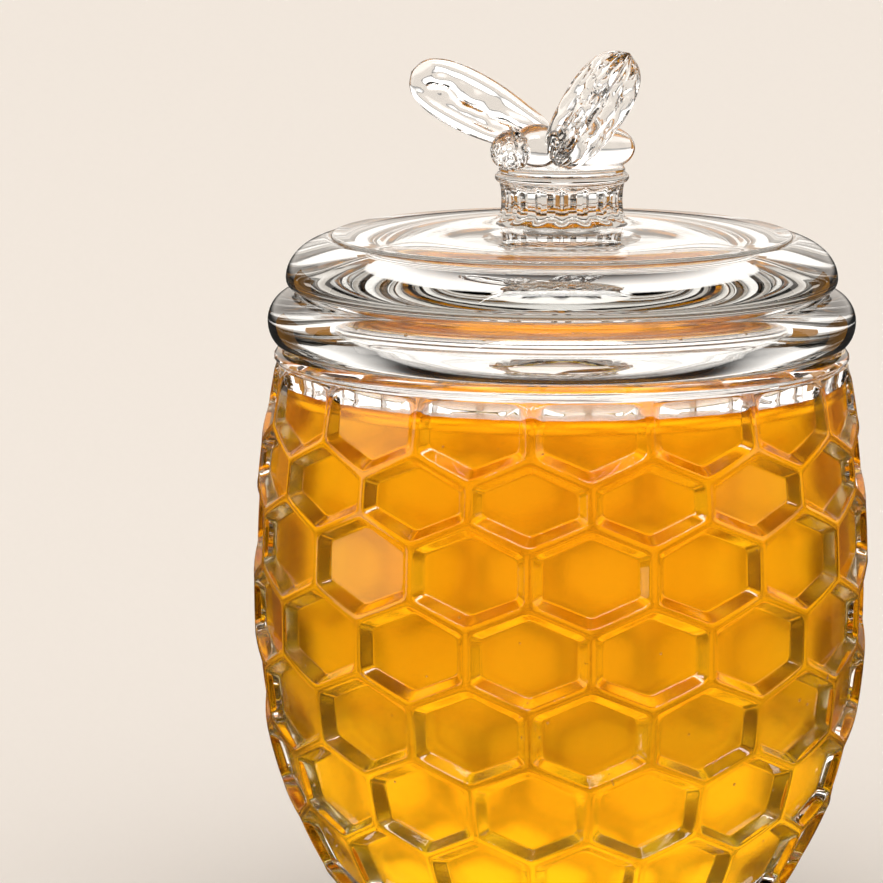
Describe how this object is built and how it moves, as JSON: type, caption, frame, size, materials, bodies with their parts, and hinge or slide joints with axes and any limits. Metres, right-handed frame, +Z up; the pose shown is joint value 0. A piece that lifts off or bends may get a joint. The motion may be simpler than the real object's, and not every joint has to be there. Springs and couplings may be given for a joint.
{
  "type": "glass honey pot",
  "caption": "Clear pressed-glass honey pot with a honeycomb relief, full of honey, under a hollow stepped lid whose fluted knob carries a glass bee.",
  "frame": {"origin": "centre of the underside of the jar, at the height of the surface that the pot stands on", "axes": "+Z up along the pot's axis, -Y towards the viewer, +X to the viewer's right; the bee heads towards -X and a little towards -Y"},
  "size_m": [0.0944, 0.0944, 0.1391],
  "materials": {
    "clear_glass": "clear pressed glass, glossy",
    "lid_glass": "clear pressed glass, glossy",
    "honey_amber": "bright clear amber liquid"
  },
  "bodies": {
    "root": {"jar": "clear_glass", "lid": "lid_glass", "honey": "honey_amber"}
  },
  "joints": []
}
